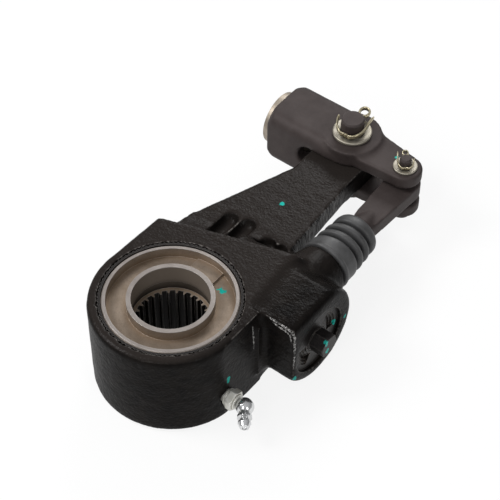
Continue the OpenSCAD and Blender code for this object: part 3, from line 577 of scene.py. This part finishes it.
def roughen(obj, node, share, size, depth):
    """Moves each point along its normal by noise, and keeps it inside the box of the solid.

    The noise is size millimetres wide and depth millimetres high.
    """
    mesh = obj.data
    points = read_points(mesh.vertices, "co")
    normals = read_points(mesh.vertex_normals, "vector")
    lift = np.array(
        [
            0.7 * noise.noise(p / (size * MM)) + 0.3 * noise.noise(p / (0.45 * size * MM))
            for p in map(Vector, points)
        ]
    )
    points += normals * (lift[:, None] * depth * MM * share)
    solid = read_points(NODES[node].data.vertices, "co")
    write_points(mesh, np.clip(points, solid.min(axis=0), solid.max(axis=0)))


def clear_rack_bore(obj):
    """Widens the hidden rack bore by the error of the even mesh, so that the rack runs free."""
    points = read_points(obj.data.vertices, "co") / MM
    across, up = points[:, 0] - BOOT_AXIS[0], points[:, 2] - BOOT_AXIS[1]
    off = np.hypot(across, up)
    wall = (off > 5.5) & (off < RACK_CLEAR) & (points[:, 1] > 24.0) & (points[:, 1] < 70.0)
    grow = np.where(wall, RACK_CLEAR / np.maximum(off, 1.0), 1.0)
    points[:, 0] = BOOT_AXIS[0] + across * grow
    points[:, 2] = BOOT_AXIS[1] + up * grow
    write_points(obj.data, points * MM)


def skin(node, name, look, body, voxel, free, rounds, fill_rounds, size, depth):
    """Cast or forged skin of a node, with rounded edges, filled corners and a rough face."""
    obj = remeshed(node, name, voxel)
    share = soften(obj, free, rounds, fill_rounds)
    roughen(obj, node, share, size, depth)
    if node == "housing":
        clear_rack_bore(obj)
    for face in obj.data.polygons:
        face.use_smooth = True
    attach(obj, look, body, node)


# shares of the move, from the least in bores and seats to one on the outside; p is in mm

LEAST_SHARE = 0.06


def from_axis(p, centre):
    """Distance from an upright axis."""
    return np.hypot(p[:, 0] - centre[0], p[:, 1] - centre[1])


def share_of(*masks):
    return LEAST_SHARE + (1.0 - LEAST_SHARE) * np.minimum.reduce(masks)


def housing_free(p):
    hub = ramp(np.hypot(p[:, 0], p[:, 1]), 36.6, 37.4)
    from_worm = np.hypot(p[:, 1] - WORM_AXIS[0], p[:, 2] - WORM_AXIS[1])
    cap = np.maximum(ramp(from_worm, 18.8, 19.6), ramp(p[:, 0], 44.0, 42.0))
    pin = ramp(from_axis(p, CLEVIS_PIN), 9.0, 10.0)
    from_rack = np.hypot(p[:, 0] - BOOT_AXIS[0], p[:, 2] - BOOT_AXIS[1])
    bore = np.maximum(ramp(from_rack, 11.4, 12.2), ramp(p[:, 1], 26.0, 23.0))
    from_rib = np.abs(p[:, :2] - (40.0, 15.0))
    beside_rib = np.maximum(ramp(from_rib[:, 0], 5.0, 7.0), ramp(from_rib[:, 1], 6.0, 8.0))
    return share_of(hub, 0.12 + 0.88 * beside_rib, cap, pin, bore)


def clevis_free(p):
    big = ramp(from_axis(p, CLEVIS_PIN), 6.8, 7.8)
    small = ramp(from_axis(p, LINK_PIN), 3.6, 4.6)
    from_rod = np.hypot(p[:, 1] - CLEVIS_PIN[1], p[:, 2] - BOOT_AXIS[1])
    rod = np.maximum(ramp(from_rod, 11.0, 12.0), ramp(p[:, 0], -22.0, -20.0))
    return share_of(big, small, rod)


def link_free(p):
    return share_of(ramp(from_axis(p, LINK_PIN), 5.2, 6.0))


# rubber boot, as radius and distance from its start

BOOT_OUTSIDE = [
    (13.3, 0.1), (14.2, 0.35), (14.75, 1.1), (14.65, 2.0), (14.25, 2.8), (14.2, 5.5), (14.2, 8.0),
    (13.8, 9.3), (12.5, 10.0), (10.9, 10.6), (11.0, 11.6), (12.5, 12.2), (13.6, 13.0), (13.8, 14.2),
    (13.3, 15.4), (12.0, 16.0), (10.5, 16.6), (10.6, 17.6), (12.0, 18.2), (13.1, 19.0), (13.3, 20.2),
    (12.8, 21.4), (11.5, 22.0), (10.1, 22.6), (10.3, 23.6), (11.7, 24.2), (12.55, 25.0),
    (12.7, 26.4), (12.55, 28.4), (11.8, 30.1), (10.4, 31.1), (9.1, 31.5), (8.25, 31.3),
]
BOOT_INSIDE = [
    (8.1, 30.6), (8.15, 29.4), (8.9, 28.6), (9.6, 27.2), (9.6, 25.0), (8.9, 23.0), (10.6, 20.0),
    (9.2, 17.0), (10.9, 14.1), (9.6, 11.0), (10.95, 9.0), (10.95, 5.5), (10.95, 0.1),
]
BOOT_LEAN = 0.10


def make_boot():
    """Bellows whose folds lean a little, and follow the rack at their far end."""
    section = spline_through(BOOT_OUTSIDE, 4) + spline_through(BOOT_INSIDE, 3)
    turns = 112
    verts = []
    for k in range(turns):
        angle = 2 * math.pi * k / turns
        for r, y in section:
            across, up = r * math.cos(angle), r * math.sin(angle)
            lean = BOOT_LEAN * ramp(y, 0.0, 9.0) * ramp(y, 31.5, 24.0) * across
            place = (BOOT_AXIS[0] + across, BOOT_START + y + lean, BOOT_AXIS[1] + up)
            verts.append([c * MM for c in place])
    mesh = smooth_mesh("rubber_boot", verts, lathe_faces(turns, len(section)))
    obj = new_piece("rubber_boot", mesh)
    dress(obj, LOOKS["boot_rubber"])
    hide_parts("boot")
    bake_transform(obj)


# casting flash on the worm boss and on the rib beside it, as lines with the radius of their bead

FLASH_LINES = [
    (
        [
            (44.0, 20.7, 52.6), (50.0, 20.6, 52.7), (56.0, 20.6, 52.6), (58.6, 20.65, 51.9),
            (60.0, 20.75, 50.0), (60.3, 20.75, 47.5), (60.3, 20.75, 40.0), (60.25, 20.8, 32.0),
            (60.2, 20.85, 24.0),
        ],
        0.75,
    ),
    (
        [
            (47.0, 20.4, 51.3), (52.0, 20.3, 51.0), (56.0, 20.3, 50.4), (58.0, 20.35, 48.6),
            (58.5, 20.4, 44.0),
        ],
        0.5,
    ),
    ([(40.1, 13.6, 49.5), (40.2, 13.9, 43.0), (40.2, 14.2, 36.0), (40.1, 14.5, 28.0)], 0.7),
]


def make_flash():
    """Ragged beads along the edges where the halves of the mould met."""
    ring = 10
    verts, faces = [], []
    for points, most in FLASH_LINES:
        path = [Vector(p) for p in spline_through(points, 14)]
        count = len(path)
        faces.extend(tube_faces(len(verts), count, ring))
        for i, point in enumerate(path):
            ahead = (path[min(i + 1, count - 1)] - path[max(i - 1, 0)]).normalized()
            across = ahead.cross(Vector((0, 1, 0))).normalized()
            out = across.cross(ahead).normalized()
            ends = ramp(min(i, count - 1 - i), -1.0, 8.0)
            worn_down = ramp(point.z, 20.0, 50.0)
            radius = most * ends * (0.35 + 0.5 * worn_down + 0.6 * noise.noise(point * 0.9))
            sway = across * (0.35 * noise.noise(point * 0.5 + Vector((7.0, 0.0, 0.0))))
            for k in range(ring):
                angle = 2 * math.pi * k / ring
                reach = (across * math.cos(angle) + out * math.sin(angle)) * radius
                verts.append(tuple((point + sway + reach) * MM))
    obj = new_piece("casting_flash", smooth_mesh("casting_flash", verts, faces))
    attach(obj, "flash_wear_and_glint", "base")


# split pins and washers


def swept_wire(verts, faces, path, wide, thick, side):
    """Adds a half round wire along a path; side tells on which side its flat lies."""
    ring = 12
    count = len(path)
    faces.extend(tube_faces(len(verts), count, ring))
    for i, point in enumerate(path):
        ahead = Vector(path[min(i + 1, count - 1)]) - Vector(path[max(i - 1, 0)])
        ahead.normalize()
        up = Vector((0, 0, 1))
        across = ahead.cross(up).normalized() * side
        up = across.cross(ahead).normalized() * side
        taper = 1.0 if i < count - 3 else (count - i) / 4.0 + 0.25
        for k in range(ring):
            angle = math.pi * k / (ring - 1) - math.pi / 2
            half_round = across * (thick * math.cos(angle) * taper)
            offset = half_round + up * (wide * math.sin(angle) * taper)
            verts.append(tuple((Vector(point) + offset) * MM))


def make_cotter(name, node, centre, level, turn, pin_r, wire, eye, left, right):
    """Split pin with its eye behind the pin and two legs bent round it in front.

    turn is about the pin, in degrees. wire is half the width and the thickness of a leg, and eye
    the radius of the eye, its distance from the pin's axis and how much it rises.
    """
    gap = 0.06
    eye_r, back, lift = eye
    cos, sin = math.cos(math.radians(turn)), math.sin(math.radians(turn))
    verts, faces = [], []
    for side, leg in ((-1, left), (1, right)):
        points = [(side * gap, back + eye_r)]
        for k in range(1, 8):
            angle = math.pi / 2 - math.pi * k / 8
            points.append((side * (gap + eye_r * math.cos(angle)), back + eye_r * math.sin(angle)))
        points += [
            (side * gap * 2, back - eye_r * 1.15),
            (side * gap, pin_r + 0.4),
            (side * gap, -pin_r - 0.3),
        ]
        path = [(x, y, lift * max(y - pin_r - 0.4, 0.0)) for x, y in points] + list(leg)
        placed = [
            (centre[0] + x * cos - y * sin, centre[1] + x * sin + y * cos, level + z)
            for x, y, z in spline_through(path, 4)
        ]
        swept_wire(verts, faces, placed, *wire, -side)
    mesh = smooth_mesh(name, verts, faces)
    for face in mesh.polygons:
        face.use_smooth = len(face.vertices) == 4
    attach(new_piece(name, mesh), "split_pin", "yoke", node)


BIG_LEFT = [
    (-0.8, -7.4, 0.6), (-2.4, -8.4, 1.5), (-4.8, -7.7, 2.2), (-7.3, -5.2, 2.8), (-8.7, -2.2, 3.6),
    (-9.3, 0.4, 4.7),
]
BIG_RIGHT = [
    (0.8, -7.5, 0.5), (2.7, -8.4, 1.3), (5.4, -7.2, 1.9), (7.4, -4.0, 2.5), (7.9, 0.0, 3.1),
    (7.8, 4.4, 4.1), (7.9, 8.9, 5.3),
]
SMALL_LEFT = [
    (-0.6, -4.0, 0.4), (-2.2, -4.4, 0.9), (-3.9, -2.6, 1.3), (-4.5, 0.4, 1.9), (-4.5, 2.9, 2.8),
    (-4.5, 4.9, 4.0),
]
SMALL_RIGHT = [
    (0.6, -4.0, 0.4), (2.2, -4.4, 0.9), (3.9, -2.6, 1.4), (4.5, -0.7, 2.2), (4.6, 0.9, 3.2),
]


def turned_ring(name, node, centre, low, outer, inner, thick, edge):
    """Stamped washer with rounded edges."""
    chamfer = 0.2
    section = []
    for r, z, start in ((outer - edge, edge, -90), (outer - edge, thick - edge, 0)):
        for k in range(5):
            angle = math.radians(start + 22.5 * k)
            section.append((r + edge * math.cos(angle), z + edge * math.sin(angle)))
    section += [(inner + chamfer, thick), (inner, thick - chamfer)]
    section += [(inner, chamfer), (inner + chamfer, 0.0)]
    turns = 72
    verts = [
        ((centre[0] + r * math.cos(a)) * MM, (centre[1] + r * math.sin(a)) * MM, (low + z) * MM)
        for a in (2 * math.pi * k / turns for k in range(turns))
        for r, z in section
    ]
    mesh = smooth_mesh(name, verts, lathe_faces(turns, len(section)))
    attach(new_piece(name, mesh), "zinc_steel", "yoke", node)


# grease fitting, as places along its axis and radii

FITTING_ROWS = [
    (38.0, 3.7), (40.2, 3.7), (40.2, 4.2), (40.5, 4.5), (40.8, 4.2), (41.1, 4.6), (41.4, 4.9),
    (41.7, 4.9), (41.8, 4.6), (41.8, 4.9), (42.2, 5.5), (42.5, 9.0), (45.2, 9.0), (45.5, 5.5),
    (45.8, 4.9), (45.8, 4.1), (46.1, 4.3), (46.4, 4.3), (46.7, 4.0), (46.75, 3.4),
]


def make_fitting_body():
    """Ringed shoulder, hexagon with turned corners and collar of the grease fitting."""
    sides, half_flat = 96, 5.0
    sixth = math.pi / 3
    verts = []
    for x, most in FITTING_ROWS:
        for k in range(sides):
            angle = 2 * math.pi * k / sides
            from_flat = (angle + sixth / 2) % sixth - sixth / 2
            r = min(most, half_flat / math.cos(from_flat))
            across, up = r * math.cos(angle), r * math.sin(angle)
            verts.append((x * MM, (FITTING_AXIS[0] + across) * MM, (FITTING_AXIS[1] + up) * MM))
    mesh = smooth_mesh("fitting_hexagon", verts, tube_faces(0, len(FITTING_ROWS), sides))
    mesh.set_sharp_from_angle(angle=math.radians(28))
    obj = new_piece("fitting_hexagon", mesh)
    attach(obj, "fitting_frosted", "base", "fitting_body")


def turned_copy(name, node, centre, axis, turn, body):
    """A round piece turned about its own axis, in degrees, to the way it lies in the photograph."""
    mesh = NODES[node].data.copy()
    mesh.name = name
    about = Matrix.Translation(Vector(centre) * MM)
    mesh.transform(about @ Matrix.Rotation(math.radians(turn), 4, axis) @ about.inverted())
    obj = new_piece(name, mesh)
    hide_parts(node)
    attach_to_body(obj, body)


# studio

FLOOR_HALF = 3.0
FLOOR_LEVEL = -0.0004
FLOOR_GLOW = 0.86


def make_floor():
    """Pale floor that is white to the camera, and plain grey to the light that falls on things."""
    half = FLOOR_HALF
    mesh = bpy.data.meshes.new("floor")
    corners = [(-half, -half, 0), (half, -half, 0), (half, half, 0), (-half, half, 0)]
    mesh.from_pydata(corners, [], [(0, 1, 2, 3)])
    floor = new_piece("floor", mesh)
    floor.location.z = FLOOR_LEVEL
    mat = bpy.data.materials.new("floor_white")
    mat.use_nodes = True
    tree = mat.node_tree
    tree.nodes.clear()
    out = tree.nodes.new("ShaderNodeOutputMaterial")
    blend = tree.nodes.new("ShaderNodeMixShader")
    matte = tree.nodes.new("ShaderNodeBsdfDiffuse")
    glow = tree.nodes.new("ShaderNodeEmission")
    shade = tree.nodes.new("ShaderNodeMix")
    shade.data_type = "RGBA"
    shade.inputs[6].default_value = (0.35, 0.35, 0.35, 1)
    shade.inputs[7].default_value = (0.9, 0.9, 0.9, 1)
    tree.links.new(seen_directly(tree, 1.0), shade.inputs["Factor"])
    tree.links.new(shade.outputs[2], matte.inputs["Color"])
    tree.links.new(seen_directly(tree, FLOOR_GLOW), blend.inputs["Fac"])
    tree.links.new(matte.outputs[0], blend.inputs[1])
    tree.links.new(glow.outputs[0], blend.inputs[2])
    tree.links.new(blend.outputs[0], out.inputs["Surface"])
    mesh.materials.append(mat)


def seen_directly(tree, most):
    """Share that is most for what the camera sees, straight or in gloss, and else nought."""
    path = tree.nodes.new("ShaderNodeLightPath")
    share = path.outputs["Is Camera Ray"]
    for other in ("Is Glossy Ray", "Is Transmission Ray"):
        highest = tree.nodes.new("ShaderNodeMath")
        highest.operation = "MAXIMUM"
        tree.links.new(share, highest.inputs[0])
        tree.links.new(path.outputs[other], highest.inputs[1])
        share = highest.outputs[0]
    scale = tree.nodes.new("ShaderNodeMath")
    scale.operation = "MULTIPLY"
    tree.links.new(share, scale.inputs[0])
    scale.inputs[1].default_value = most
    return scale.outputs[0]


def make_world():
    """Soft grey room that is brighter overhead."""
    world = bpy.data.worlds.new("studio")
    bpy.context.scene.world = world
    world.use_nodes = True
    tree = world.node_tree
    sky = tree.nodes["Background"]
    place = tree.nodes.new("ShaderNodeTexCoord")
    split = tree.nodes.new("ShaderNodeSeparateXYZ")
    rise = tree.nodes.new("ShaderNodeMapRange")
    sky.inputs["Color"].default_value = (0.975, 0.985, 1.0, 1)
    rise.inputs["From Min"].default_value = -0.1
    rise.inputs["From Max"].default_value = 1.0
    rise.inputs["To Min"].default_value = 0.14
    rise.inputs["To Max"].default_value = 0.5
    tree.links.new(place.outputs["Generated"], split.inputs[0])
    tree.links.new(split.outputs["Z"], rise.inputs["Value"])
    tree.links.new(rise.outputs["Result"], sky.inputs["Strength"])


def add_lamp(name, place, target, size, power):
    lamp = bpy.data.lights.new(name, "AREA")
    lamp.shape = "RECTANGLE"
    lamp.size, lamp.size_y = size
    lamp.energy = power
    obj = bpy.data.objects.new(name, lamp)
    bpy.context.scene.collection.objects.link(obj)
    obj.location = place
    obj.rotation_euler = (Vector(target) - Vector(place)).to_track_quat("-Z", "Y").to_euler()


def make_camera():
    """Camera at the photograph's angle."""
    azimuth, elevation, distance = math.radians(38.02), math.radians(48.56), 0.85259
    target = Vector((-0.00458, 0.06872, 0.025))
    back = Vector(
        (
            math.sin(azimuth) * math.cos(elevation),
            -math.cos(azimuth) * math.cos(elevation),
            math.sin(elevation),
        )
    )
    data = bpy.data.cameras.new("camera")
    data.lens = 117.02
    data.sensor_width = 36.0
    obj = bpy.data.objects.new("camera", data)
    bpy.context.scene.collection.objects.link(obj)
    obj.location = target + back * distance
    obj.rotation_euler = (-back).to_track_quat("-Z", "Y").to_euler()
    bpy.context.scene.camera = obj


dress_nodes()
skin(
    "housing", "housing_casting", "black_cast", "base",
    voxel=1.0, free=housing_free, rounds=4, fill_rounds=70, size=5.0, depth=0.16,
)
skin(
    "clevis", "clevis_forging", "phosphate_steel", "yoke",
    voxel=0.8, free=clevis_free, rounds=3, fill_rounds=26, size=9.0, depth=0.10,
)
skin(
    "link", "link_forging", "phosphate_steel", "connecting_link",
    voxel=0.7, free=link_free, rounds=3, fill_rounds=12, size=8.0, depth=0.07,
)
make_boot()
turned_ring(
    "clevis_round_washer", "clevis_washer", CLEVIS_PIN,
    low=49.0, outer=10.7, inner=6.5, thick=2.0, edge=0.7,
)
turned_ring(
    "link_round_washer", "link_washer", LINK_PIN,
    low=47.0, outer=6.6, inner=3.35, thick=1.2, edge=0.45,
)
make_fitting_body()
make_flash()
turned_copy(
    "link_headed_pin", "link_pin", (*LINK_PIN, 0.0), "Z", 36.0, "yoke"
)
turned_copy(
    "stepped_end_cap", "end_cap", (0.0, *WORM_AXIS), "X", -100.0, "base"
)
make_cotter(
    "clevis_split_pin", "clevis_cotter", CLEVIS_PIN, level=52.55, turn=4, pin_r=6.35,
    wire=(1.25, 1.1), eye=(2.3, 12.2, 0.35), left=BIG_LEFT, right=BIG_RIGHT,
)
make_cotter(
    "link_split_pin", "link_cotter", LINK_PIN, level=49.3, turn=36, pin_r=3.175,
    wire=(0.85, 0.7), eye=(1.15, 6.4, 0.5), left=SMALL_LEFT, right=SMALL_RIGHT,
)

make_floor()
make_world()
add_lamp("key", (-0.62, -0.42, 0.95), (0.0, 0.05, 0.02), (0.42, 0.42), 9.0)
add_lamp("front", (0.22, -0.95, 0.80), (0.03, 0.0, 0.02), (0.3, 0.3), 3.0)
add_lamp("rim", (-0.45, 1.05, 0.85), (0.0, 0.08, 0.03), (0.6, 0.35), 6.5)
add_lamp("side", (1.0, -0.30, 0.50), (0.03, 0.03, 0.02), (0.16, 0.5), 2.2)
make_camera()
bpy.context.scene.view_settings.view_transform = "Standard"
